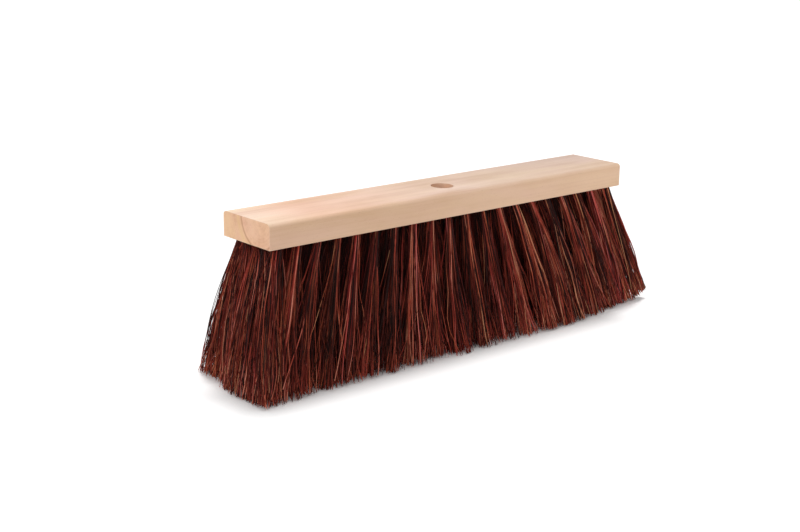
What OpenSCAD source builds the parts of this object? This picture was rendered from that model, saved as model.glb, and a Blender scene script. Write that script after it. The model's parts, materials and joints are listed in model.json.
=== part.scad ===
// Push broom head: a drilled wooden block with rows of fibre tufts that fan outwards.
// Millimetres. X runs along the block, -Y is the front, Z is up, and the fibre tips stand on Z = 0.

/* [Block] */
// Length of the wooden block
block_length = 500; // [300:5:800]
// Width of the block from front to back
block_width = 78; // [66:1:120]
// Thickness of the block
block_height = 26; // [22:1:40]
// Radius of the two long top edges
top_edge_radius = 5; // [1:0.5:9]
// Radius that eases the two long bottom edges
bottom_edge_radius = 1; // [0.5:0.25:2]
// Radius that eases the edges of the two sawn ends
end_edge_radius = 0.75; // [0.25:0.25:2]

/* [Handle hole] */
// Diameter of the hole that takes the handle
handle_hole_dia = 24; // [18:0.5:32]
// Lean of the hole towards the front, from upright
handle_lean = 22; // [0:1:35]

/* [Tuft layout] */
// Distance between neighbouring tufts in a row
tuft_pitch = 24.7; // [20:0.1:40]
// Number of rows from front to back
row_count = 5; // [3:1:6]
// Least distance from a tuft's middle to the end of the block
end_margin = 15; // [10:0.5:30]
// Distance from an outer row to the block's side
side_margin = 10; // [8:0.5:16]
// Least wood left between a tuft hole and the handle hole, or a tuft hole beside it
hole_wall = 3; // [2:0.5:6]

/* [Tufts] */
// Diameter of the blind hole that holds a tuft
tuft_hole_dia = 9; // [5:0.25:10]
// Depth of the blind hole along its axis
tuft_hole_depth = 15; // [10:0.5:17]
// Length of the bristle field, from the block's underside to the floor
bristle_height = 144; // [80:1:180]
// Outward lean of the tufts at the two ends
end_lean = 17; // [0:0.5:22]
// Outward lean of the tufts in the front and back rows
side_lean = 9; // [0:0.5:15]
// Straight neck of a tuft below its hole, before it spreads
neck_length = 3; // [2:0.5:8]
// Gap left between the spread tips of neighbouring tufts
tip_gap = 1.5; // [0.5:0.25:6]
// Play between a tuft and the wall of its hole
tuft_play = 0.1; // [0.05:0.05:0.3]

/* [Anchors] */
// Width of the flat anchor wire, measured along the tuft
anchor_height = 3; // [1.5:0.25:4]
// Thickness of the flat anchor wire
anchor_thickness = 0.7; // [0.4:0.1:1.2]
// How far each end of an anchor bites into the wood
anchor_bite = 1.2; // [0.5:0.1:2]
// Room under an anchor for the folded fibres
fold_height = 3; // [2:0.25:5]
// Play between an anchor and what it passes through
anchor_play = 0.05; // [0.02:0.01:0.1]

/* [Hidden] */
$fn = 48;
// Overrun of a cutting tool past the face that it cuts
overrun = 1;

// Height of the block's middle, where the handle hole's axis crosses the block's middle line
block_middle = bristle_height + block_height / 2;
handle_axis = [0, -sin(handle_lean), cos(handle_lean)];
handle_tool_length = 2 * (block_height + handle_hole_dia) / cos(handle_lean);

// Tufts in each row
tufts_in_row = floor((block_length - 2 * end_margin) / tuft_pitch) + 1;
last_x = (tufts_in_row - 1) / 2 * tuft_pitch;
last_y = block_width / 2 - side_margin;
row_pitch = 2 * last_y / (row_count - 1);

// How far the tips of the outermost tufts stand out past their holes
end_spread = bristle_height * tan(end_lean);
side_spread = bristle_height * tan(side_lean);

// Spacing of the tips, along a row and from row to row
tip_step_x = tuft_pitch * (1 + end_spread / last_x);
tip_step_y = row_pitch * (1 + side_spread / last_y);
tip_step = min(tip_step_x, tip_step_y);

// A leaning tuft meets the floor in an ellipse, which is longer than the tuft is thick
steepest = bristle_height / norm([end_spread, side_spread, bristle_height]);
tip_radius = (tip_step - tip_gap) / 2 * steepest;

root_radius = tuft_hole_dia / 2 - tuft_play;
root_length = tuft_hole_depth - tuft_play;
anchor_width = tuft_hole_dia + 2 * anchor_bite;
anchor_middle = tuft_hole_depth - fold_height - anchor_height / 2;

rows = [1:row_count];
sides = ["left", "right"];
function tufts_node(row, side) = str("tufts_row_", row, "_", side);
function anchors_node(row, side) = str("anchors_row_", row, "_", side);

// Place of a tuft in the regular grid, on the block's underside
function row_y(row) = -last_y + (row - 1) * row_pitch;
function tuft_x(i) = -last_x + i * tuft_pitch;
function place(row, i) = [tuft_x(i), row_y(row), bristle_height];

// Where the middle of a tuft meets the floor
function tip(p) = [p.x * (1 + end_spread / last_x), p.y * (1 + side_spread / last_y), 0];

// Distance of a point from the handle hole's axis
function from_handle(p) = norm(cross(p - [0, 0, block_middle], handle_axis));

// Whether a tuft hole in this place would keep clear of the handle hole all the way up
clear_distance = (handle_hole_dia + tuft_hole_dia) / 2 + hole_wall;
depth_steps = 6;
function clears_handle(p) =
    let (up = (p - tip(p)) / norm(p - tip(p)))
    min([for (k = [0:depth_steps]) from_handle(p + up * tuft_hole_depth * k / depth_steps)]) >= clear_distance;

// Middle of a tuft hole's mouth: in its place, or set aside just clear of the handle hole
function mouth(p) = clears_handle(p) ? p : [sign(p.x) * clear_distance, p.y, p.z];
function upward(p) = (mouth(p) - tip(p)) / norm(mouth(p) - tip(p));

// A tuft is left out where it can't be set aside without coming too near the next one
function has_room(p) = clears_handle(p)
    || (p.x != 0 && abs(p.x) + tuft_pitch - clear_distance >= tuft_hole_dia + hole_wall);

// Places of one row's tufts on one side of the handle hole
function row_places(row, side) = [
    for (i = [0:tufts_in_row - 1])
        let (p = place(row, i))
        if ((side == "left") == (p.x < 0) && has_room(p)) p
];
function all_places() = [for (row = rows, side = sides) each row_places(row, side)];

// Puts children at a tuft's root, with Z up along the tuft's axis
module at_tuft(p) {
    up = upward(p);
    heading = atan2(up.y, up.x);
    translate(mouth(p))
        rotate([0, acos(up.z), heading])
            rotate([0, 0, -heading])
                children();
}

// A rectangle with its lower corners rounded by one radius and its upper corners by another
module eased_rectangle(width, height, lower_radius, upper_radius) {
    difference() {
        translate([-width / 2, 0])
            square([width, height]);
        for (flip = [0, 1])
            mirror([flip, 0]) {
                corner_cut(width / 2, height, upper_radius);
                translate([0, height])
                    mirror([0, 1])
                        corner_cut(width / 2, height, lower_radius);
            }
    }
}

// What a radius takes off the upper right corner of a rectangle
module corner_cut(right, top, radius) {
    difference() {
        translate([right - radius, top - radius])
            square(radius + overrun);
        translate([right - radius, top - radius])
            circle(radius);
    }
}

// The block's section across its width, swept along its length
module block_length_sweep() {
    translate([-block_length / 2, 0, bristle_height])
        rotate([90, 0, 90])
            linear_extrude(block_length)
                eased_rectangle(block_width, block_height, bottom_edge_radius, top_edge_radius);
}

// The block's front view, with the edges of the sawn ends eased
module block_front_sweep() {
    translate([0, block_width / 2 + overrun, bristle_height])
        rotate([90, 0, 0])
            linear_extrude(block_width + 2 * overrun)
                eased_rectangle(block_length, block_height, end_edge_radius, end_edge_radius);
}

// The block's plan, with the upright edges of the sawn ends eased
module block_plan_sweep() {
    translate([0, -block_width / 2, bristle_height - overrun])
        linear_extrude(block_height + 2 * overrun)
            eased_rectangle(block_length, block_width, end_edge_radius, end_edge_radius);
}

module handle_hole() {
    translate([0, 0, block_middle])
        rotate([handle_lean, 0, 0])
            cylinder(d = handle_hole_dia, h = handle_tool_length, center = true);
}

// A blind hole, with the two slits that its anchor cuts in the wall
module tuft_hole() {
    translate([0, 0, -tuft_hole_dia])
        cylinder(d = tuft_hole_dia, h = tuft_hole_dia + tuft_hole_depth);
    anchor_plate(anchor_play);
}

// A piece of flat wire across the tuft, along the row, larger on every side by the play
module anchor_plate(play = 0) {
    translate([0, 0, anchor_middle])
        cube([anchor_width, anchor_thickness, anchor_height] + 2 * play * [1, 1, 1], center = true);
}

// A bundle of fibres: the folded root, a straight neck and the spread end, cut off level with the floor
module tuft(p) {
    reach = norm(mouth(p) - tip(p));
    difference() {
        at_tuft(p)
            difference() {
                union() {
                    translate([0, 0, -neck_length])
                        cylinder(r = root_radius, h = neck_length + root_length);
                    translate([0, 0, -reach - tip_radius])
                        cylinder(r1 = spread_radius(reach, reach + tip_radius), r2 = root_radius,
                            h = reach + tip_radius - neck_length);
                }
                anchor_plate(anchor_play);
            }
        translate([tip(p).x, tip(p).y, -bristle_height / 2])
            cube([bristle_height, bristle_height, bristle_height], center = true);
    }
}

// Radius of a tuft at a distance below its root, where it has the tip radius at the floor
function spread_radius(reach, along) =
    root_radius + (tip_radius - root_radius) * (along - neck_length) / (reach - neck_length);

module block() {
    color("burlywood")
        difference() {
            intersection() {
                block_length_sweep();
                block_front_sweep();
                block_plan_sweep();
            }
            handle_hole();
            for (p = all_places())
                at_tuft(p)
                    tuft_hole();
        }
}

module tufts(row, side) {
    color("saddlebrown")
        for (p = row_places(row, side))
            tuft(p);
}

module anchors(row, side) {
    color("silver")
        for (p = row_places(row, side))
            at_tuft(p)
                anchor_plate();
}

block();
for (row = rows, side = sides) {
    tufts(row, side);
    anchors(row, side);
}
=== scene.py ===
"""Looks of a push broom head: a beech block with fanned tufts of dyed plant fibre on a pale studio floor."""
import json
import math
from types import SimpleNamespace

import bmesh
import bpy
import numpy as np
from mathutils import Matrix, Vector


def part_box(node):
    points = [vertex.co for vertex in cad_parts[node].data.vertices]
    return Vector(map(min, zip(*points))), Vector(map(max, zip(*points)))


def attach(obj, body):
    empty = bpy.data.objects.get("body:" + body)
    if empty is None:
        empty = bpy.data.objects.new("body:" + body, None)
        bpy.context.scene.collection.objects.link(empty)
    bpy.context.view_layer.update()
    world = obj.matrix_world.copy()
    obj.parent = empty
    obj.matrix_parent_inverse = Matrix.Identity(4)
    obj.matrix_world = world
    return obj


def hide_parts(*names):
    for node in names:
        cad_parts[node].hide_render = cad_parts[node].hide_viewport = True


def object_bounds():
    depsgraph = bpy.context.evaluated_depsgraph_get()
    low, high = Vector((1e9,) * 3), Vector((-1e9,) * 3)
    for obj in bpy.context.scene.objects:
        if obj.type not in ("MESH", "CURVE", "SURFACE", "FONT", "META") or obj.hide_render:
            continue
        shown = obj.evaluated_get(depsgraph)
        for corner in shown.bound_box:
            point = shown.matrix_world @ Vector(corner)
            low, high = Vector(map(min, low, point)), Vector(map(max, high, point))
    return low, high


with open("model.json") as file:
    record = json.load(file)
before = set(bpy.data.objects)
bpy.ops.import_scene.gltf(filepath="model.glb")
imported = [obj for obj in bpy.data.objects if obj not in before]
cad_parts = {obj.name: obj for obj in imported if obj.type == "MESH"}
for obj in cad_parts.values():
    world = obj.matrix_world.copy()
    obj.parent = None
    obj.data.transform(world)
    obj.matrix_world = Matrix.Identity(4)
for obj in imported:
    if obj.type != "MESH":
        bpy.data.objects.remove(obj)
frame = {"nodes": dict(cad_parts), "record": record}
cad_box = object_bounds()

MM = 0.001
TURN = 2 * math.pi
GOLDEN_ANGLE = math.pi * (3 - math.sqrt(5))
SEED = 2718

# Camera: where the photograph was taken from, in metres and degrees, with its lens in millimetres
CAMERA_EYE = (-0.990, -1.086, 0.478)
CAMERA_AZIMUTH = 40.77
CAMERA_ELEVATION = 15.19
CAMERA_ROLL = -0.74
CAMERA_LENS = 62.8
CAMERA_REACH = 100

# Light: a white dome, a soft key from above, behind and the right, and a wide fill from the front left
DOME_STRENGTH = 0.40
KEY_STRENGTH = 1.55
KEY_DIRECTION = (0.24, 0.23, 0.94)
KEY_SPREAD = math.radians(13)
FILL_STRENGTH = 0.7
FILL_DIRECTION = (-0.70, -0.62, 0.36)
FILL_SPREAD = math.radians(60)

# Floor: its size in metres, and its colour as it lights the object and as it is seen
FLOOR_SIZE = 24.0
FLOOR_COLOUR = 0.97
FLOOR_SEEN_COLOUR = 1.23

# Wood: where the tree's middle lay, from the block's middle line and underside, and its growth rings
PITH_Y = -21.5 * MM
PITH_Z = 27 * MM
RING_WIDTH = 3.2 * MM
RING_DRIFT = 6 * MM
RING_GREYS = ((0.0, 0.20), (0.15, 0.66), (0.80, 0.50), (1.0, 0.20))

# One dark ring and a pale one beyond it, which show on the sawn ends, with their colours on the screen
DARK_RING_RADIUS = 30 * MM
DARK_RING_HALF_WIDTH = 1.8 * MM
DARK_RING_STRENGTH = 0.62
DARK_RING_COLOUR = (190, 124, 82)
PALE_RING_HALF_WIDTH = 5 * MM
PALE_RING_STRENGTH = 0.6
PALE_RING_COLOUR = (250, 208, 152)

# Scales of the noises, in cycles for each metre along the block, across it and up
DRIFT_SCALE = (2.2, 14, 14)
PATCH_SCALE = (9, 30, 30)
BAND_SCALE = (2.5, 75, 75)
STREAK_SCALE = (14, 480, 480)
HUE_SCALE = (6, 26, 26)
FLECK_SCALE = (230, 1900, 1900)
MOTTLE_SCALE = (900, 900, 110)
SCRATCH_SCALE = (4000, 300, 4000)
NOISE_MIDDLE = 0.5

# Shade of the wood: the weight of each layer, and how much it fades to its middle on the front and back
PATCH_WEIGHT = 0.46
BAND_WEIGHT = 0.40
STREAK_WEIGHT = 0.16
RING_WEIGHT = 0.10
MIDDLE_SHADE = 0.55
FRONT_CALM = 0.55

# Colours of the wood on the screen, by its shade, and of its flecks
STRAW_COLOURS = ((0.40, (208, 172, 138)), (0.55, (226, 196, 168)), (0.72, (238, 212, 184)))
ROSY_COLOURS = ((0.40, (216, 178, 156)), (0.55, (231, 200, 182)), (0.72, (242, 213, 197)))
HUE_CONTRAST = 2.6
FLECK_COLOUR = (166, 116, 84)
FLECK_LEVEL = 0.62
FLECK_CONTRAST = 2.0

# Tints along the block's faces, in pairs for the left end and for where a tint's reach ends. The top's
# first pair and the front's pair paint light and shade on the faces: lighter towards the left on the top and
# underside, and lighter towards the right on the front and back
TOP_PAINTED_LIGHT_TINTS = ((1.25, 1.12, 1.06, 1), (0.99, 0.98, 0.98, 1))
TOP_PAINTED_LIGHT_REACH = 50 * MM
TOP_END_TINTS = ((1.02, 1.17, 1.21, 1), (1, 1, 1, 1))
TOP_END_TINT_REACH = -180 * MM
FRONT_PAINTED_LIGHT_TINTS = ((0.99, 0.90, 0.78, 1), (1.14, 1.06, 0.96, 1))

# Painted shade on the far corner of the top and underside; tint of the sawn ends, partly the end grain's own
# colour and partly painted light; and painted light on the handle hole's wall
TOP_FAR_PAINTED_SHADE = (0.84, 0.84, 0.90, 1)
END_GRAIN_AND_PAINTED_LIGHT_TINT = (1.23, 1.045, 0.87, 1)
HOLE_PAINTED_LIGHT_TINT = (1.06, 1.16, 1.28, 1)
DRILLED_TOLERANCE = 0.1 * MM

# How sharply the tints change where a surface turns to the ends, or to the front, back, top and underside
END_GRAIN_POWER = 4.0
SIDE_GRAIN_POWER = 2.0

# Surface of the wood
WOOD_ROUGHNESS = 0.50
STREAK_ROUGHNESS = 0.20
WOOD_SPECULAR = 0.3
WOOD_BUMP = 0.2
WOOD_RELIEF = 0.2 * MM
STREAK_RELIEF = 0.7
FLECK_RELIEF = 0.5

# Fibre: its colours on the screen by its tone, the tints of the fibres that lean most towards wine red and
# towards orange, and its surface
TONE_COLOURS = (
    (0.00, (31, 7, 5)), (0.26, (73, 23, 17)), (0.50, (124, 48, 37)),
    (0.74, (180, 79, 60)), (1.00, (214, 137, 112)))
WINE_CAST = (1.02, 0.67, 0.90, 1)
ORANGE_CAST = (1.01, 1.32, 1.00, 1)
MOTTLE_STRENGTH = 0.35
FIBRE_ROUGHNESS = 0.5
FIBRE_SPECULAR = 0.11

# Anchor wire: its colours on the screen, by its scratches, and its surface
WIRE_COLOURS = ((0.3, (140, 140, 138)), (0.7, (190, 189, 186)))
WIRE_ROUGHNESS = 0.25
SCRATCH_ROUGHNESS = 0.25

# Reading of the CAD tufts: which points are one, which are on the floor, and which are at the end of a root
WELD_DISTANCE = 0.001 * MM
FLOOR_TOLERANCE = 0.01 * MM
TOP_SLICE = 1 * MM
ROOT_SLICE = 0.3 * MM
AXIS_ROUNDS = 3

# Parts of the field of fibres, as shares of the way from its middle to its edge: where the tufts count as
# outermost along the block and across it, where the right end opens out, and where the ends fade in
END_FROM = 0.9
SIDE_FROM = 0.7
OPEN_FROM = 0.8
LEFT_END = (-0.70, -0.95)
RIGHT_END = (0.70, 0.95)

# Fibres in a tuft: at the ends, in the outer rows, inside, and in the thin veil at the left back corner
END_FIBRES = 190
OUTER_FIBRES = 150
INNER_FIBRES = 100
VEIL_FIBRES = 112
CLUMPS_PER_TUFT = 24

# Sizes of a fibre, and how much thinner the loose and the wild ones are
FIBRE_LENGTH = 153 * MM
FIBRE_RADIUS = 0.39 * MM
FIBRE_RADIUS_SPREAD = 0.36
FIBRE_RADIUS_LIMITS = (0.28 * MM, 0.95 * MM)
FIBRE_TAPER = 0.80
LOOSE_THINNESS = 0.80
WILD_THINNESS = 0.55
FIBRE_SIDES = 5
FIBRE_RINGS = 12

# Roots: radius of the bundle where it leaves the block, and how far it goes on inside
OUTER_ROOT_RADIUS = 4.1 * MM
INNER_ROOT_RADIUS = 4.6 * MM
END_ROOT_RADIUS = 5.4 * MM
ROOT_DEPTH = 10 * MM

# Tips: how far a tuft's own spread and change places, how far a whole tuft strays, and how far off the floor
TIP_SPREAD = np.array([15.0, 12.5]) * MM
TIP_MIX = 0.52
TUFT_SCATTER = np.array([2.5, 4.0]) * MM
TIP_LIFT = 0.8 * MM
TIP_LIFT_ENDS = 1.4 * MM
TUFT_LIFT = 2.4 * MM
FLOOR_CLEARANCE = 0.4 * MM

# Ways that fibres stray, in pairs for the rest of the field and for its left end, which is more unruly
CLUMP_PULL = (0.46, 0.66)
CLUMP_SCATTER = (np.array([3.0, 3.0]) * MM, np.array([5.0, 13.0]) * MM)
TIP_SCATTER = (np.array([3.5, 3.5]) * MM, np.array([3.5, 5.0]) * MM)
LOOSE_SHARE = (0.30, 0.42)
LOOSE_SCATTER = (np.array([11, 11]) * MM, np.array([17, 34]) * MM)
BOW = (2.2 * MM, 4.5 * MM)
LOOSE_BOW = (4.5 * MM, 8.0 * MM)
CURL = (2.2 * MM, 4.5 * MM)
WOBBLE = (1.2 * MM, 1.9 * MM)
WAVES = (np.array([1.0, 2.6]), np.array([1.1, 2.6]))

# Bends that are alike all over the field, and the few wild fibres that stand out at its front and left
CLUMP_BOW = 1.6 * MM
INWARD_BOW = 0.5
END_BOW_SHARE = 0.25
BOW_POWER = 0.5
CURL_POWER = 3
WILD_SHARE = 0.011
WILD_SCATTER = 20 * MM
WILD_STAND = 3.5 * MM

# Limits of the power with which a fibre spreads along its length: a low power spreads it near the block
SPREAD_POWER = (1.2, 2.3)
SPREAD_POWER_INNER = (0.4, 1.2)
SPREAD_POWER_LEFT = (0.5, 1.2)
SPREAD_POWER_RIGHT = (0.65, 1.15)
SPREAD_POWER_VEIL = (0.8, 1.5)
VEIL_EARLY = 0.78

# How the tufts have settled: fanned out most between the middle and the ends, tucked in at the left end, and
# reaching out, pushed back and lifted at the right end
FAN_BULGE_LEFT = 62 * MM
FAN_BULGE_RIGHT = 70 * MM
FAN_POWER = 1.5
LEFT_TUCK = 10 * MM
LEFT_TUCK_POWER = 8
RIGHT_REACH = 17.5 * MM
RIGHT_REACH_POWER = 4
RIGHT_SHIFT = 11 * MM
RIGHT_SHIFT_FROM = (0.45, 0.95)
RIGHT_LIFT = 0.20
RIGHT_LIFT_START = 278 * MM
FRONT_SHARE = 1.07
BACK_SHARE = 1.02

# How much sooner than a straight line a tuft moves outwards, so that it droops towards its tip
DROOP_LEFT = 0.05
DROOP_CORNER = 0.45
DROOP_RIGHT = 0.33
DROOP_RIGHT_FROM = (-0.1, 0.4)

# Edge of the field on the floor, and how far a tip past it is folded back
LEFT_LIMIT = -281 * MM
LEFT_LIMIT_BACK = -267 * MM
LEFT_LIMIT_TURN = (-10 * MM, 30 * MM)
RIGHT_LIMIT = 301 * MM
FRONT_LIMIT = -69 * MM
FRONT_LIMIT_RIGHT = -47 * MM
BACK_LIMIT = 63 * MM
FOLD = 1.5

# Tones, from 0 for near black to 1 for tan: each measure's value, and what is added to it at the left end,
# in the right half, at the right end, and in the dim stretch from the left end to just past the middle
TONE_MIDDLE = (0.235, 0.17, 0.01, 0.10, -0.045)
TONE_CONTRAST = (0.20, 0, -0.02, 0.03, -0.02)
CLUMP_CONTRAST = (0.12, 0.01, 0.02, 0, 0)
BRIGHT_SHARE = (0.05, -0.02, 0.02, 0.04, -0.03)
BRIGHT_CLUMP_SHARE = (0.13, -0.09, 0.03, 0.14, -0.05)
RIGHT_HALF = (0.0, 0.4)
RIGHT_FADE = 0.20
RIGHT_FADE_FROM = (0.5, 0.9)
DIM_FROM = (-0.95, -0.75)
DIM_TO = (0.05, 0.40)

# Tones of the tufts, bright clumps, bright fibres and wild ones, and the drift of the tone along a fibre
TUFT_CONTRAST = 0.04
BRIGHT_CLUMP_GAIN = (0.18, 0.45)
BRIGHT_TONE = (0.68, 1.0)
WILD_TONE = (0.40, 0.80)
TONE_DRIFT = 0.24

# Painted shade and more contrast near the roots, where the block and the other tufts shade the fibres, and
# painted light at the tips, where the floor lights them, with their reach as shares of the fibre's length
EDGE_PAINTED_ROOT_SHADE = 0.08
INNER_PAINTED_ROOT_SHADE = 0.62
PAINTED_ROOT_SHADE_REACH = (0.05, 0.45)
LEFT_PAINTED_ROOT_SHADE = 0.60
LEFT_PAINTED_ROOT_SHADE_REACH = (0.08, 0.26)
ROOT_CRISPNESS = 0.35
ROOT_CRISP_REACH = (0.1, 0.5)
TIP_PAINTED_LIGHT = 0.18
TIP_PAINTED_LIGHT_REACH = (0.72, 1.0)

# Casts, from 0 for wine red to 1 for orange
CAST_MIDDLE = 0.5
CAST_SPREAD = 0.25
CAST_OWN_WEIGHT = 0.5

# Cell of one fibre in the baked texture: how much taller than wide it is, and where its walls and caps lie
CELL_ASPECT = 24
WALL_CORNER = (0.1, 0.04)
WALL_SIZE = (0.8, 0.92)
CAP_RADII = (0.3, 0.012)
CAP_MIDDLES = ((0.5, 0.018), (0.5, 0.982))

# Sockets of Blender's mix node for colours: the factor and the two colours, and the result
MIX_INPUTS = (0, 6, 7)
MIX_OUTPUT = 2

block_low, block_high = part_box("block")
underside = block_low[2]
handle_hole = next(mount for mount in frame["record"]["mounts"] if mount["name"] == "handle_hole")


def linear(red, green, blue):
    """A linear colour from one written as 0 to 255 on the screen, by the sRGB curve."""
    def one(value):
        value /= 255
        return value / 12.92 if value <= 0.04045 else ((value + 0.055) / 1.055) ** 2.4
    return (one(red), one(green), one(blue), 1.0)


def add_node(tree, kind, inputs=None, **settings):
    """A new shader node with its settings and its inputs, which are sockets to link or values."""
    node = tree.nodes.new(kind)
    for name, value in settings.items():
        setattr(node, name, value)
    for name, value in (inputs or {}).items():
        socket = node.inputs[name]
        if isinstance(value, bpy.types.NodeSocket):
            tree.links.new(value, socket)
        else:
            socket.default_value = value
    return node


def new_material(name):
    """An empty node material, with its tree and its output node."""
    material = bpy.data.materials.new(name)
    material.use_nodes = True
    tree = material.node_tree
    tree.nodes.clear()
    return material, tree, tree.nodes.new("ShaderNodeOutputMaterial")


def add_surface(tree, output, inputs):
    """Puts a principled shader on a material's output."""
    shader = add_node(tree, "ShaderNodeBsdfPrincipled", inputs)
    tree.links.new(shader.outputs["BSDF"], output.inputs["Surface"])


def ramp(tree, factor, stops):
    """A colour ramp through (position, linear colour) stops."""
    node = add_node(tree, "ShaderNodeValToRGB", {"Fac": factor})
    elements = node.color_ramp.elements
    while len(elements) < len(stops):
        elements.new(position=0.5)
    for element, (position, colour) in zip(elements, stops):
        element.position = position
        element.color = colour
    return node.outputs["Color"]


def screen_ramp(tree, factor, stops):
    """A colour ramp through (position, colour on the screen) stops."""
    return ramp(tree, factor, [(position, linear(*colour)) for position, colour in stops])


def maths(tree, operation, first, second=0.0, third=0.0, clamp=False):
    """One arithmetic step between sockets or numbers."""
    inputs = {0: first, 1: second, 2: third}
    node = add_node(tree, "ShaderNodeMath", inputs, operation=operation, use_clamp=clamp)
    return node.outputs[0]


def scaled_sum(tree, layers, start=0.0):
    """A number plus each (layer, weight) pair's product."""
    total = start
    for layer, weight in layers:
        total = maths(tree, "ADD", total, maths(tree, "MULTIPLY", layer, weight))
    return total


def rising(tree, value, low, high):
    """0 to 1 along an even curve, as a value goes from low to high."""
    inputs = {"Value": value, "From Min": low, "From Max": high}
    node = add_node(tree, "ShaderNodeMapRange", inputs, interpolation_type="SMOOTHSTEP")
    return node.outputs["Result"]


def stretched_noise(tree, coordinates, scale, detail=3.0, roughness=0.55, distortion=0.0):
    """Noise whose scale differs along the three axes, in cycles for each metre."""
    mapping = add_node(tree, "ShaderNodeMapping", {"Vector": coordinates, "Scale": scale})
    noise = add_node(tree, "ShaderNodeTexNoise", {
        "Vector": mapping.outputs["Vector"], "Scale": 1.0, "Detail": detail,
        "Roughness": roughness, "Distortion": distortion})
    return noise.outputs["Fac"]


def mix_colour(tree, factor, first, second, mode="MIX"):
    """A mix of two colours."""
    inputs = dict(zip(MIX_INPUTS, (factor, first, second)))
    node = add_node(tree, "ShaderNodeMix", inputs, data_type="RGBA", blend_type=mode)
    return node.outputs[MIX_OUTPUT]


def wood_material():
    """Planed beech: growth rings about a pith just above the block, soft streaks and short flecks."""
    material, tree, output = new_material("planed_beech")
    coordinates = add_node(tree, "ShaderNodeTexCoord").outputs["Object"]
    place = add_node(tree, "ShaderNodeSeparateXYZ", {"Vector": coordinates}).outputs
    end_grain, front_grain, top_grain = grain_shares(tree)
    radius = pith_distance(tree, coordinates, place)
    streaks = stretched_noise(tree, coordinates, STREAK_SCALE, roughness=0.6)
    flecks = stretched_noise(tree, coordinates, FLECK_SCALE, detail=2, roughness=0.5)

    shade = wood_shade(tree, coordinates, radius, streaks, front_grain)
    hue = stretched_noise(tree, coordinates, HUE_SCALE, roughness=0.6, distortion=0.6)
    hue = maths(tree, "SUBTRACT", hue, NOISE_MIDDLE)
    hue = maths(tree, "MULTIPLY_ADD", hue, HUE_CONTRAST, NOISE_MIDDLE, clamp=True)
    straw = screen_ramp(tree, shade, STRAW_COLOURS)
    rosy = screen_ramp(tree, shade, ROSY_COLOURS)
    colour = mix_colour(tree, hue, straw, rosy)
    fleck_mask = maths(tree, "SUBTRACT", flecks, FLECK_LEVEL, clamp=True)
    fleck_mask = maths(tree, "MULTIPLY", fleck_mask, FLECK_CONTRAST, clamp=True)
    colour = mix_colour(tree, fleck_mask, colour, linear(*FLECK_COLOUR))
    # Painted light and shade on the top, underside, front and back, and painted shade on the top's far
    # corner
    colour = face_painted_light(tree, colour, place, front_grain, top_grain)
    # The sawn ends' tint: partly the end grain's own colour, partly painted light
    colour = mix_colour(tree, end_grain, colour, END_GRAIN_AND_PAINTED_LIGHT_TINT, "MULTIPLY")
    # Painted light on the handle hole's wall, which lightens the shade inside the hole
    colour = mix_colour(tree, drilled_wall(tree, coordinates), colour, HOLE_PAINTED_LIGHT_TINT, "MULTIPLY")
    colour = end_ringed(tree, colour, radius, end_grain)

    height = scaled_sum(tree, ((streaks, STREAK_RELIEF), (flecks, FLECK_RELIEF)))
    bump = add_node(tree, "ShaderNodeBump", {
        "Strength": WOOD_BUMP, "Distance": WOOD_RELIEF, "Height": height})
    add_surface(tree, output, {
        "Base Color": colour, "Roughness": scaled_sum(tree, ((streaks, STREAK_ROUGHNESS),), WOOD_ROUGHNESS),
        "Specular IOR Level": WOOD_SPECULAR, "Normal": bump.outputs["Normal"]})
    return material


def grain_shares(tree):
    """How much a surface faces along the block, across it, and up or down."""
    facing = add_node(tree, "ShaderNodeNewGeometry").outputs["Normal"]
    normal = add_node(tree, "ShaderNodeSeparateXYZ", {"Vector": facing}).outputs
    powers = (("X", END_GRAIN_POWER), ("Y", SIDE_GRAIN_POWER), ("Z", SIDE_GRAIN_POWER))
    return [maths(tree, "POWER", maths(tree, "ABSOLUTE", normal[axis]), power) for axis, power in powers]


def pith_distance(tree, coordinates, place):
    """Distance from the tree's middle line, which drifts slowly along the block."""
    drift = maths(tree, "SUBTRACT", stretched_noise(tree, coordinates, DRIFT_SCALE, detail=2), NOISE_MIDDLE)
    across = maths(tree, "SUBTRACT", place["Y"], PITH_Y)
    upward = maths(tree, "SUBTRACT", place["Z"], underside + PITH_Z)
    squares = [maths(tree, "MULTIPLY", offset, offset) for offset in (across, upward)]
    return scaled_sum(tree, ((drift, RING_DRIFT),), maths(tree, "SQRT", maths(tree, "ADD", *squares)))


def wood_shade(tree, coordinates, radius, streaks, front_grain):
    """Lightness of the wood from its patches, bands, streaks and rings, calmer on the front and back."""
    patches = stretched_noise(tree, coordinates, PATCH_SCALE)
    bands = stretched_noise(tree, coordinates, BAND_SCALE, roughness=0.6)
    within_ring = maths(tree, "FRACT", maths(tree, "DIVIDE", radius, RING_WIDTH))
    rings = ramp(tree, within_ring, [(position, (grey, grey, grey, 1)) for position, grey in RING_GREYS])
    shade = scaled_sum(tree, (
        (patches, PATCH_WEIGHT), (bands, BAND_WEIGHT), (streaks, STREAK_WEIGHT), (rings, RING_WEIGHT)))
    calm = maths(tree, "MULTIPLY", maths(tree, "SUBTRACT", MIDDLE_SHADE, shade), front_grain)
    return scaled_sum(tree, ((calm, FRONT_CALM),), shade)


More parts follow.
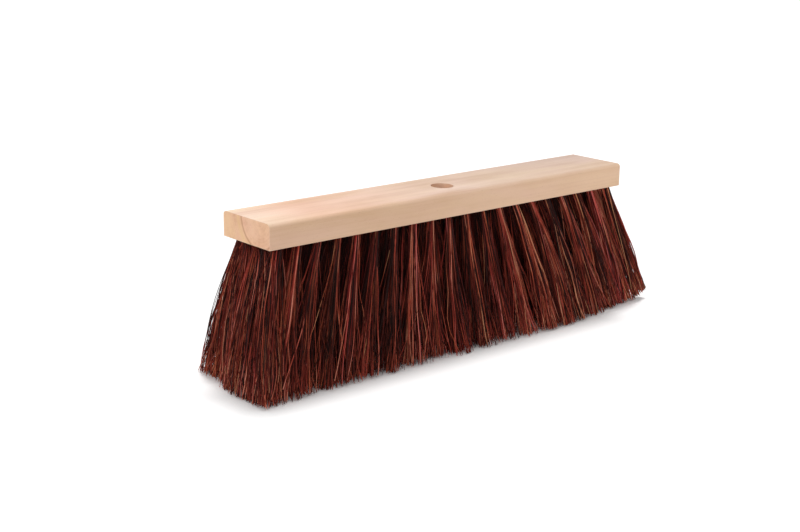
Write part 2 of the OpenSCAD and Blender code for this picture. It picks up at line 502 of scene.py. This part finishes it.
def face_painted_light(tree, colour, place, front_grain, top_grain):
    """The wood's colour with painted light and shade on its top, underside, front and back, darker at the
    far corner.
    """
    for grain, tints, reach in (
            (top_grain, TOP_PAINTED_LIGHT_TINTS, TOP_PAINTED_LIGHT_REACH), (top_grain, TOP_END_TINTS, TOP_END_TINT_REACH),
            (front_grain, FRONT_PAINTED_LIGHT_TINTS, block_high[0])):
        tint = mix_colour(tree, rising(tree, place["X"], block_low[0], reach), *tints)
        colour = mix_colour(tree, grain, colour, tint, "MULTIPLY")
    # Painted shade, deepest at the right back corner of the top and underside
    far = maths(tree, "MULTIPLY", top_grain, rising(tree, place["X"], 0.0, block_high[0]))
    far = maths(tree, "MULTIPLY", far, rising(tree, place["Y"], block_low[1], block_high[1]))
    return mix_colour(tree, far, colour, TOP_FAR_PAINTED_SHADE, "MULTIPLY")


def drilled_wall(tree, coordinates):
    """1 on the wall of the handle hole, 0 on the rest of the block."""
    offset = add_node(tree, "ShaderNodeVectorMath", {
        0: coordinates, 1: handle_hole["pos_m"]}, operation="SUBTRACT")
    lever = add_node(tree, "ShaderNodeVectorMath", {
        0: offset.outputs[0], 1: handle_hole["axis"]}, operation="CROSS_PRODUCT")
    distance = add_node(tree, "ShaderNodeVectorMath", {0: lever.outputs[0]}, operation="LENGTH")
    wall_radius = handle_hole["dims"]["r_mm"] * MM + DRILLED_TOLERANCE
    return maths(tree, "LESS_THAN", distance.outputs["Value"], wall_radius)


def end_ringed(tree, colour, radius, end_grain):
    """The wood's colour with one dark ring, and a pale one beyond it, on the sawn ends."""
    beyond = maths(tree, "SUBTRACT", radius, DARK_RING_RADIUS)
    for middle, half_width, strength, ring_colour in (
            (PALE_RING_HALF_WIDTH, PALE_RING_HALF_WIDTH, PALE_RING_STRENGTH, PALE_RING_COLOUR),
            (0.0, DARK_RING_HALF_WIDTH, DARK_RING_STRENGTH, DARK_RING_COLOUR)):
        offset = maths(tree, "ABSOLUTE", maths(tree, "SUBTRACT", beyond, middle))
        ring = maths(tree, "SUBTRACT", 1.0, maths(tree, "DIVIDE", offset, half_width), clamp=True)
        share = maths(tree, "MULTIPLY", ring, maths(tree, "MULTIPLY", end_grain, strength))
        colour = mix_colour(tree, share, colour, linear(*ring_colour))
    return colour


def fibre_material():
    """Dyed plant fibre: each strand has its own tone, from near black through red-brown to tan."""
    material, tree, output = new_material("dyed_fibre")
    # The tone also holds painted shade near the block and painted light at the tips
    tone = add_node(tree, "ShaderNodeAttribute", attribute_name="tone").outputs["Fac"]
    cast = add_node(tree, "ShaderNodeAttribute", attribute_name="cast").outputs["Fac"]
    coordinates = add_node(tree, "ShaderNodeTexCoord").outputs["Object"]
    mottle = stretched_noise(tree, coordinates, MOTTLE_SCALE, detail=2)
    mottle = maths(tree, "SUBTRACT", mottle, NOISE_MIDDLE)
    tone = maths(tree, "ADD", tone, maths(tree, "MULTIPLY", mottle, MOTTLE_STRENGTH), clamp=True)
    tint = ramp(tree, cast, ((0.0, WINE_CAST), (1.0, ORANGE_CAST)))
    colour = mix_colour(tree, 1.0, screen_ramp(tree, tone, TONE_COLOURS), tint, "MULTIPLY")
    add_surface(tree, output, {
        "Base Color": colour, "Roughness": FIBRE_ROUGHNESS, "Specular IOR Level": FIBRE_SPECULAR})
    return material


def wire_material():
    """Drawn flat steel wire with fine scratches."""
    material, tree, output = new_material("drawn_wire")
    coordinates = add_node(tree, "ShaderNodeTexCoord").outputs["Object"]
    scratches = stretched_noise(tree, coordinates, SCRATCH_SCALE, detail=2)
    roughness = scaled_sum(tree, ((scratches, SCRATCH_ROUGHNESS),), WIRE_ROUGHNESS)
    add_surface(tree, output, {
        "Base Color": screen_ramp(tree, scratches, WIRE_COLOURS), "Roughness": roughness, "Metallic": 1.0})
    return material


def seen_directly(tree):
    """1 for rays that show a surface or its mirror image, 0 for rays that only light something."""
    path = add_node(tree, "ShaderNodeLightPath")
    either = maths(tree, "MAXIMUM", path.outputs["Is Camera Ray"], path.outputs["Is Glossy Ray"])
    return maths(tree, "MAXIMUM", either, path.outputs["Is Transmission Ray"])


def floor_material():
    """Pale matte floor that keeps shadows and reads as white where nothing shades it."""
    material, tree, output = new_material("studio_floor")
    colour = scaled_sum(tree, ((seen_directly(tree), FLOOR_SEEN_COLOUR - FLOOR_COLOUR),), FLOOR_COLOUR)
    diffuse = add_node(tree, "ShaderNodeBsdfDiffuse", {"Color": colour})
    tree.links.new(diffuse.outputs["BSDF"], output.inputs["Surface"])
    return material


def build_floor():
    """A flat floor under the fibres' tips."""
    half = FLOOR_SIZE / 2
    corners = [(-half, -half, 0), (half, -half, 0), (half, half, 0), (-half, half, 0)]
    mesh = bpy.data.meshes.new("floor")
    mesh.from_pydata(corners, [], [(0, 1, 2, 3)])
    mesh.materials.append(floor_material())
    floor = bpy.data.objects.new("floor", mesh)
    bpy.context.collection.objects.link(floor)


def build_dome():
    """A white world that is seen as white and lights the object less."""
    world = bpy.data.worlds.new("studio")
    bpy.context.scene.world = world
    world.use_nodes = True
    tree = world.node_tree
    tree.nodes.clear()
    strength = scaled_sum(tree, ((seen_directly(tree), 1 - DOME_STRENGTH),), DOME_STRENGTH)
    background = add_node(tree, "ShaderNodeBackground", {"Color": (1, 1, 1, 1), "Strength": strength})
    output = tree.nodes.new("ShaderNodeOutputWorld")
    tree.links.new(background.outputs["Background"], output.inputs["Surface"])


def add_sun(name, strength, direction, spread):
    """A distant lamp that shines from a direction."""
    light = bpy.data.lights.new(name, "SUN")
    light.energy = strength
    light.angle = spread
    lamp = bpy.data.objects.new(name, light)
    lamp.rotation_euler = Vector(direction).to_track_quat("Z", "Y").to_euler()
    bpy.context.collection.objects.link(lamp)


def build_camera():
    """The photograph's camera."""
    camera = bpy.data.cameras.new("camera")
    camera.lens = CAMERA_LENS
    camera.clip_end = CAMERA_REACH
    viewer = bpy.data.objects.new("camera", camera)
    turn = Matrix.Rotation(math.radians(-CAMERA_AZIMUTH), 4, "Z")
    tilt = Matrix.Rotation(math.radians(90 - CAMERA_ELEVATION), 4, "X")
    roll = Matrix.Rotation(math.radians(-CAMERA_ROLL), 4, "Z")
    viewer.matrix_world = Matrix.Translation(CAMERA_EYE) @ turn @ tilt @ roll
    bpy.context.collection.objects.link(viewer)
    bpy.context.scene.camera = viewer
    bpy.context.scene.view_settings.view_transform = "Standard"


def build_studio():
    """The floor, the dome, the lamps and the camera."""
    build_floor()
    build_dome()
    add_sun("key", KEY_STRENGTH, KEY_DIRECTION, KEY_SPREAD)
    add_sun("fill", FILL_STRENGTH, FILL_DIRECTION, FILL_SPREAD)
    build_camera()


def unit(vectors):
    """Vectors of length one along the last axis."""
    return vectors / np.linalg.norm(vectors, axis=-1, keepdims=True)


def blend(rest, end, share):
    """A value that goes from one to another with a share from 0 to 1."""
    return rest + (end - rest) * share


def smooth_step(low, high, value):
    """0 at low and before it, 1 at high and past it, and an even curve between."""
    share = np.clip((value - low) / (high - low), 0, 1)
    return share * share * (3 - 2 * share)


def weighted(values, shares):
    """The sum of values, each times its share."""
    return sum(value * share for value, share in zip(values, shares))


def disc(index, count, turn):
    """Evenly spread points of a disc with radius one."""
    angle = index * GOLDEN_ANGLE + turn
    share = np.sqrt((index + 0.5) / count)
    return np.stack([np.cos(angle) * share, np.sin(angle) * share], axis=1)


def level(offsets):
    """Flat offsets as points, with no height."""
    return np.concatenate([offsets, np.zeros((len(offsets), 1))], axis=1)


def islands(mesh):
    """The points of each separate solid in a mesh, as arrays, from left to right."""
    solid = bmesh.new()
    solid.from_mesh(mesh)
    bmesh.ops.remove_doubles(solid, verts=solid.verts, dist=WELD_DISTANCE)
    seen = set()
    found = []
    for first in solid.verts:
        if first in seen:
            continue
        seen.add(first)
        reached = [first]
        for vertex in reached:
            for edge in vertex.link_edges:
                other = edge.other_vert(vertex)
                if other not in seen:
                    seen.add(other)
                    reached.append(other)
        found.append(np.array([vertex.co[:] for vertex in reached]))
    solid.free()
    return sorted(found, key=lambda points: points[:, 0].mean())


def tuft_axis(points):
    """The middle of a tuft's root inside the block, and of its tip on the floor."""
    low = points[points[:, 2] < FLOOR_TOLERANCE]
    tip = (low.min(axis=0) + low.max(axis=0)) / 2
    top = points[points[:, 2] > points[:, 2].max() - TOP_SLICE].mean(axis=0)
    for _ in range(AXIS_ROUNDS):
        reach = (points - tip) @ (top - tip) / np.linalg.norm(top - tip)
        top = points[reach > reach.max() - ROOT_SLICE].mean(axis=0)
    return top, tip


class Tuft:
    """One tuft of the CAD model: its axis, and the parts of the field that it stands in."""

    def __init__(self, points):
        self.top, self.tip = tuft_axis(points)
        self.place = self.tip[0] / cad_box[1][0]
        self.at_front = self.tip[1] < SIDE_FROM * cad_box[0][1]
        self.at_back = self.tip[1] > SIDE_FROM * cad_box[1][1]
        self.at_side = self.at_front or self.at_back
        self.at_end = abs(self.place) > END_FROM
        self.is_veil = self.at_end and self.place < 0 and self.at_back
        self.left_end = smooth_step(*LEFT_END, self.place)
        self.right_end = smooth_step(*RIGHT_END, self.place)
        self.either_end = max(self.left_end, self.right_end)

    def fibre_count(self):
        """How many fibres the tuft has."""
        if self.is_veil:
            return VEIL_FIBRES
        if self.at_end:
            return END_FIBRES
        return OUTER_FIBRES if self.at_side else INNER_FIBRES

    def root_radius(self):
        """Radius of the bundle where it leaves the block."""
        radius = OUTER_ROOT_RADIUS if self.at_side else INNER_ROOT_RADIUS
        return blend(radius, END_ROOT_RADIUS, self.either_end)

    def spread_power(self):
        """Limits of the power with which the fibres spread along their length."""
        if self.is_veil:
            return SPREAD_POWER_VEIL
        if self.at_end and self.place < 0:
            return SPREAD_POWER_LEFT
        if not self.at_side:
            return SPREAD_POWER_INNER
        return SPREAD_POWER_RIGHT if self.place > OPEN_FROM else SPREAD_POWER

    def droop(self):
        """How much sooner than a straight line the tuft moves outwards."""
        left = (DROOP_CORNER if self.at_back else DROOP_LEFT) * self.left_end
        return left + DROOP_RIGHT * smooth_step(*DROOP_RIGHT_FROM, self.place) * (1 - self.right_end)

    def settled(self):
        """Where the middle of the tips has settled on the floor."""
        place = self.place
        shift = (FAN_BULGE_LEFT if place < 0 else FAN_BULGE_RIGHT) * place * (1 - abs(place)) ** FAN_POWER
        if place < 0:
            shift += LEFT_TUCK * place ** LEFT_TUCK_POWER
        else:
            shift += RIGHT_REACH * place ** RIGHT_REACH_POWER
        share = FRONT_SHARE if self.tip[1] < 0 else BACK_SHARE
        across = share * self.tip[1] + RIGHT_SHIFT * smooth_step(*RIGHT_SHIFT_FROM, place)
        return np.array([self.tip[0] + shift, across, 0])


def folded(values, low, high):
    """Values with what lies past a limit folded back inside it."""
    return values + FOLD * np.clip(low - values, 0, None) - FOLD * np.clip(values - high, 0, None)


def inside(points, place):
    """Flat places of tips, with those past the edge of the settled field folded back into it."""
    front = blend(FRONT_LIMIT, FRONT_LIMIT_RIGHT, smooth_step(*RIGHT_SHIFT_FROM, place))
    across = folded(points[:, 1], front, BACK_LIMIT)
    left = blend(LEFT_LIMIT, LEFT_LIMIT_BACK, smooth_step(*LEFT_LIMIT_TURN, across))
    return np.stack([folded(points[:, 0], left, RIGHT_LIMIT), across], axis=1)


def new_fibres(rng, tuft, count):
    """One tuft's fibres: their places in a disc, their clumps, and which of them are loose or wild."""
    flat = disc(np.arange(count), count, rng.uniform(0, TURN))
    hearts = flat[rng.choice(count, CLUMPS_PER_TUFT, replace=False)]
    clump = np.argmin(np.linalg.norm(flat[:, None] - hearts[None], axis=2), axis=1)
    loose = rng.random(count) < blend(*LOOSE_SHARE, tuft.left_end) * (1 - tuft.right_end)
    has_wild = tuft.at_front or (tuft.left_end > 0 and not tuft.at_back)
    wild = rng.random(count) < (WILD_SHARE if has_wild else 0)
    thinness = np.where(wild, WILD_THINNESS, np.where(loose, LOOSE_THINNESS, 1))
    return SimpleNamespace(
        count=count, flat=flat, clump=clump, heart=hearts[clump], loose=loose, wild=wild, thinness=thinness)


def tip_offsets(rng, tuft, fibres):
    """Flat places of the tips about their tuft's middle, before they curl."""
    mixed = fibres.flat + TIP_MIX * (disc(rng.permutation(fibres.count), fibres.count, 0) - fibres.flat)
    spread = mixed + blend(*CLUMP_PULL, tuft.left_end) * (fibres.heart - mixed)
    of_clump = rng.normal(size=(CLUMPS_PER_TUFT, 2)) * blend(*CLUMP_SCATTER, tuft.left_end)
    loose_scatter = blend(*LOOSE_SCATTER, tuft.left_end)
    scatter = np.where(fibres.loose[:, None], loose_scatter, blend(*TIP_SCATTER, tuft.left_end))
    scatter = scatter + WILD_SCATTER * fibres.wild[:, None]
    return TIP_SPREAD * spread + of_clump[fibres.clump] + rng.normal(size=(fibres.count, 2)) * scatter


def tip_heights(rng, tuft, starts, ends):
    """Heights of the tips: off the floor where a fibre is too short or far right, and a little by chance."""
    sideways = np.linalg.norm((ends - starts)[:, :2], axis=1)
    heights = np.maximum(underside - np.sqrt(np.maximum(FIBRE_LENGTH ** 2 - sideways ** 2, 0)), 0)
    heights += RIGHT_LIFT * np.maximum(ends[:, 0] - RIGHT_LIFT_START, 0)
    heights += np.abs(rng.normal(size=len(ends))) * blend(TIP_LIFT, TIP_LIFT_ENDS, tuft.either_end)
    return heights + rng.uniform(0, TUFT_LIFT) * (1 - tuft.left_end)


def bows(rng, tuft, fibres, along):
    """Sideways offsets of the fibres' middles: a bow that a clump shares, and each fibre's own."""
    bow = (rng.normal(size=(CLUMPS_PER_TUFT, 2)) * CLUMP_BOW)[fibres.clump]
    reach = np.where(fibres.loose, blend(*LOOSE_BOW, tuft.left_end), blend(*BOW, tuft.left_end))
    own = rng.normal(size=(fibres.count, 2)) * reach[:, None]
    own[:, 0] *= blend(1, END_BOW_SHARE, tuft.either_end)
    if tuft.at_side:
        own[:, 1] = np.abs(own[:, 1]) * (INWARD_BOW if tuft.at_front else -INWARD_BOW)
    bow += own - WILD_STAND * fibres.wild[:, None] * np.array([tuft.left_end, tuft.at_front])
    return level(bow)[:, None] * np.sin(math.pi * along) * along ** BOW_POWER


def wobbles(rng, tuft, fibres, along):
    """Sideways offsets of each fibre's own waves, which grow towards its tip."""
    size = level(rng.normal(size=(fibres.count, 2)) * blend(*WOBBLE, tuft.left_end))[:, None] * along
    waves = rng.uniform(*blend(*WAVES, tuft.left_end), (fibres.count, 1, 1)) * along
    return size * np.sin(TURN * (waves + rng.random((fibres.count, 1, 1))))


def fibre_paths(rng, tuft, radii):
    """One tuft's fibres, and their centre lines as (fibre, ring, xyz)."""
    axis = unit(tuft.top - tuft.tip)
    mouth = tuft.tip + axis * (underside / axis[2])
    side = unit(np.array([1, 0, 0]) - axis * axis[0])
    other = np.cross(axis, side)
    middle = tuft.settled()
    middle[:2] += rng.normal(size=2) * TUFT_SCATTER

    fibres = new_fibres(rng, tuft, len(radii))
    root = (tuft.root_radius() - radii)[:, None] * (fibres.flat[:, :1] * side + fibres.flat[:, 1:] * other)
    starts = mouth + root
    offsets = tip_offsets(rng, tuft, fibres)
    curl = rng.normal(size=(fibres.count, 2)) * blend(*CURL, tuft.left_end)
    ends = level(inside(middle[:2] + offsets + curl, tuft.place))
    ends[:, 2] = tip_heights(rng, tuft, starts, ends)

    along = np.linspace(0, 1, FIBRE_RINGS)[None, :, None]
    power = rng.uniform(*tuft.spread_power(), (fibres.count, 1, 1))
    if tuft.is_veil:
        power *= np.where(ends[:, 1] < middle[1], VEIL_EARLY, 1)[:, None, None]
    spreading = along ** power
    droop = tuft.droop()
    centre = mouth + (middle - mouth) * ((1 + droop) * along - droop * along ** 2)
    path = centre + root[:, None] * (1 - spreading) + (ends - middle)[:, None] * spreading
    path[..., 2] = starts[:, None, 2] + (ends - starts)[:, None, 2] * along[..., 0]
    path += bows(rng, tuft, fibres, along)
    path += level(curl)[:, None] * (along ** CURL_POWER - spreading)
    path += wobbles(rng, tuft, fibres, along)
    path = np.concatenate([(starts + axis * ROOT_DEPTH)[:, None], path], axis=1)
    path[..., 2] = np.maximum(path[..., 2], FLOOR_CLEARANCE)
    return fibres, path


def evened(values):
    """Values along each fibre, evened out over their neighbours and so two fewer."""
    return (values[:, :-2] + 2 * values[:, 1:-1] + values[:, 2:]) / 4


def painted_root_shade(tuft, right, along):
    """Painted shade: how much darker fibres get towards the block, by their share of the way along a fibre.
    """
    # Painted shade: the inner tufts lie in each other's shade, and the block shades the roots of the outer
    # ones and of the left end
    depth = EDGE_PAINTED_ROOT_SHADE * (1 - right) if tuft.at_end or tuft.at_side else INNER_PAINTED_ROOT_SHADE
    shade = depth * (1 - smooth_step(*PAINTED_ROOT_SHADE_REACH, along))
    left_painted_shade = LEFT_PAINTED_ROOT_SHADE * tuft.left_end * (1 - smooth_step(*LEFT_PAINTED_ROOT_SHADE_REACH, along))
    return np.maximum(shade, left_painted_shade)


def fibre_tones_and_painted_light(rng, tuft, fibres, rings):
    """Tone of each fibre at each ring, alike within a clump and drifting along it, with painted shade and
    light.
    """
    right = smooth_step(*RIGHT_HALF, tuft.place)
    right *= 1 - RIGHT_FADE * smooth_step(*RIGHT_FADE_FROM, tuft.place)
    dim = smooth_step(*DIM_FROM, tuft.place) * (1 - smooth_step(*DIM_TO, tuft.place))
    shares = (1, tuft.left_end, right, tuft.right_end, dim)
    middle = weighted(TONE_MIDDLE, shares)
    of_clump = rng.normal(0, weighted(CLUMP_CONTRAST, shares), CLUMPS_PER_TUFT)
    bright_clump = rng.random(CLUMPS_PER_TUFT) < weighted(BRIGHT_CLUMP_SHARE, shares)
    of_clump += np.where(bright_clump, rng.uniform(*BRIGHT_CLUMP_GAIN, CLUMPS_PER_TUFT), 0)
    tone = rng.normal(middle, weighted(TONE_CONTRAST, shares), fibres.count)
    tone = tone + rng.normal(0, TUFT_CONTRAST) + of_clump[fibres.clump]
    bright = rng.random(fibres.count) < weighted(BRIGHT_SHARE, shares)
    tone = np.where(bright, rng.uniform(*BRIGHT_TONE, fibres.count), tone)
    tone = np.where(fibres.wild, rng.uniform(*WILD_TONE, fibres.count), tone)

    drift = evened(rng.normal(size=(fibres.count, rings + 2)))
    along = np.linspace(0, 1, rings)
    crisp = 1 + ROOT_CRISPNESS * (1 - smooth_step(*ROOT_CRISP_REACH, along))
    tone = middle + (tone - middle)[:, None] * crisp + TONE_DRIFT * drift
    # Painted shade towards the block, and painted light at the tips where the floor lights them
    return tone * (1 - painted_root_shade(tuft, right, along)) + TIP_PAINTED_LIGHT * smooth_step(*TIP_PAINTED_LIGHT_REACH, along)


def fibre_casts(rng, fibres):
    """Cast of each fibre, much alike within a clump."""
    own = CAST_OWN_WEIGHT * rng.normal(size=fibres.count)
    of_clump = rng.normal(size=CLUMPS_PER_TUFT)[fibres.clump]
    return np.clip(CAST_MIDDLE + CAST_SPREAD * (own + of_clump), 0, 1)


def tubes(rng, paths, radii):
    """Tapered round tubes about centre lines: the points as (fibre, ring, side, xyz)."""
    tangent = unit(np.gradient(paths, axis=1))
    turn = rng.uniform(0, TURN, len(paths))
    sideways = level(np.stack([np.cos(turn), np.sin(turn)], axis=1))[:, None]
    first = unit(np.cross(tangent, sideways))
    second = np.cross(tangent, first)
    angle = np.arange(FIBRE_SIDES) * TURN / FIBRE_SIDES
    ring = np.cos(angle)[:, None] * first[:, :, None] + np.sin(angle)[:, None] * second[:, :, None]
    taper = np.linspace(1.0, FIBRE_TAPER, paths.shape[1])
    return paths[:, :, None] + ring * (radii[:, None] * taper)[:, :, None, None]


def tube_faces(count, rings):
    """Corner lists of the tubes' walls as (face, 4) and of their two end caps as (face, sides)."""
    sides = FIBRE_SIDES
    start = np.arange(count)[:, None, None] * rings * sides
    ring = start + np.arange(rings - 1)[None, :, None] * sides
    side = np.arange(sides)[None, None, :]
    after = (side + 1) % sides
    corners = [ring + side, ring + after, ring + sides + after, ring + sides + side]
    walls = np.stack(corners, axis=-1).reshape(-1, 4)
    first = (start[:, 0] + np.arange(sides)[::-1]).reshape(-1, sides)
    last = (start[:, 0] + (rings - 1) * sides + np.arange(sides)).reshape(-1, sides)
    return walls, np.concatenate([first, last])


def bake_layout(count, rings):
    """Texture places of the walls and caps, one tall cell of the square for each fibre."""
    columns = math.ceil(math.sqrt(count * CELL_ASPECT))
    rows = math.ceil(count / columns)
    fibre = np.arange(count)
    corner = np.stack([(fibre % columns) / columns, (fibre // columns) / rows], axis=1)
    size = np.array([1 / columns, 1 / rows])
    around = (np.arange(FIBRE_SIDES)[None, :, None] + np.array([0, 1, 1, 0])) / FIBRE_SIDES
    along = (np.arange(rings - 1)[:, None, None] + np.array([0, 0, 1, 1])) / (rings - 1)
    wall = WALL_CORNER + WALL_SIZE * np.stack(np.broadcast_arrays(around, along), axis=-1)
    angle = np.arange(FIBRE_SIDES) * TURN / FIBRE_SIDES
    cap = CAP_RADII * np.stack([np.cos(angle), np.sin(angle)], axis=1)
    places = [corner[:, None, None, None] + size * wall]
    places += [corner[:, None] + size * (cap + middle) for middle in CAP_MIDDLES]
    return np.concatenate([part.reshape(-1, 2) for part in places])


def tube_mesh(name, points):
    """A mesh of closed tubes from their points as (fibre, ring, side, xyz)."""
    count, rings = points.shape[:2]
    walls, caps = tube_faces(count, rings)
    corners = np.concatenate([walls.ravel(), caps.ravel()])
    totals = np.concatenate([np.full(len(walls), walls.shape[1]), np.full(len(caps), caps.shape[1])])
    mesh = bpy.data.meshes.new(name)
    mesh.vertices.add(count * rings * FIBRE_SIDES)
    mesh.vertices.foreach_set("co", points.ravel())
    mesh.loops.add(len(corners))
    mesh.loops.foreach_set("vertex_index", corners)
    mesh.polygons.add(len(totals))
    mesh.polygons.foreach_set("loop_start", np.cumsum(totals) - totals)
    mesh.polygons.foreach_set("use_smooth", np.arange(len(totals)) < len(walls))
    mesh.update(calc_edges=True)
    mesh.uv_layers.new(name="OFBake").data.foreach_set("uv", bake_layout(count, rings).ravel())
    return mesh


def fibre_mesh(name, number, tufts):
    """One mesh of all the fibres in a CAD node's tufts, with each fibre's cast and its tone with painted
    shade and light.
    """
    generators = [np.random.default_rng((SEED, number, index)) for index in range(len(tufts))]
    paths, radii, tones_and_painted_light, casts = [], [], [], []
    for rng, tuft in zip(generators, tufts):
        size = FIBRE_RADIUS * np.exp(rng.normal(size=tuft.fibre_count()) * FIBRE_RADIUS_SPREAD)
        size = np.clip(size, *FIBRE_RADIUS_LIMITS)
        fibres, path = fibre_paths(rng, tuft, size)
        rings = path.shape[1]
        paths.append(path)
        radii.append(size * fibres.thinness)
        tones_and_painted_light.append(fibre_tones_and_painted_light(rng, tuft, fibres, rings).ravel())
        casts.append(np.repeat(fibre_casts(rng, fibres), rings))

    mesh = tube_mesh(name, tubes(generators[-1], np.concatenate(paths), np.concatenate(radii)))
    # The tone holds painted shade near the block and painted light at the tips, as well as each fibre's own
    # tone
    for attribute_name, values in (("tone", tones_and_painted_light), ("cast", casts)):
        attribute = mesh.attributes.new(attribute_name, "FLOAT", "POINT")
        attribute.data.foreach_set("value", np.repeat(np.concatenate(values), FIBRE_SIDES))
    return mesh


def build_fibres(material):
    """A bundle of loose fibres in place of every tuft solid, one piece for each CAD node."""
    names = sorted(name for name in frame["nodes"] if name.startswith("tufts"))
    for number, name in enumerate(names):
        tufts = [Tuft(points) for points in islands(frame["nodes"][name].data)]
        piece_name = name.replace("tufts", "fibres")
        mesh = fibre_mesh(piece_name, number, tufts)
        mesh.materials.append(material)
        piece = bpy.data.objects.new(piece_name, mesh)
        bpy.context.collection.objects.link(piece)
        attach(piece, "root")
        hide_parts(name)


def dress(node_name, material):
    """Gives a CAD node its finished material."""
    for slot in frame["nodes"][node_name].material_slots:
        slot.material = material


build_studio()
build_fibres(fibre_material())
dress("block", wood_material())
wire = wire_material()
for node_name in frame["nodes"]:
    if node_name.startswith("anchors"):
        dress(node_name, wire)
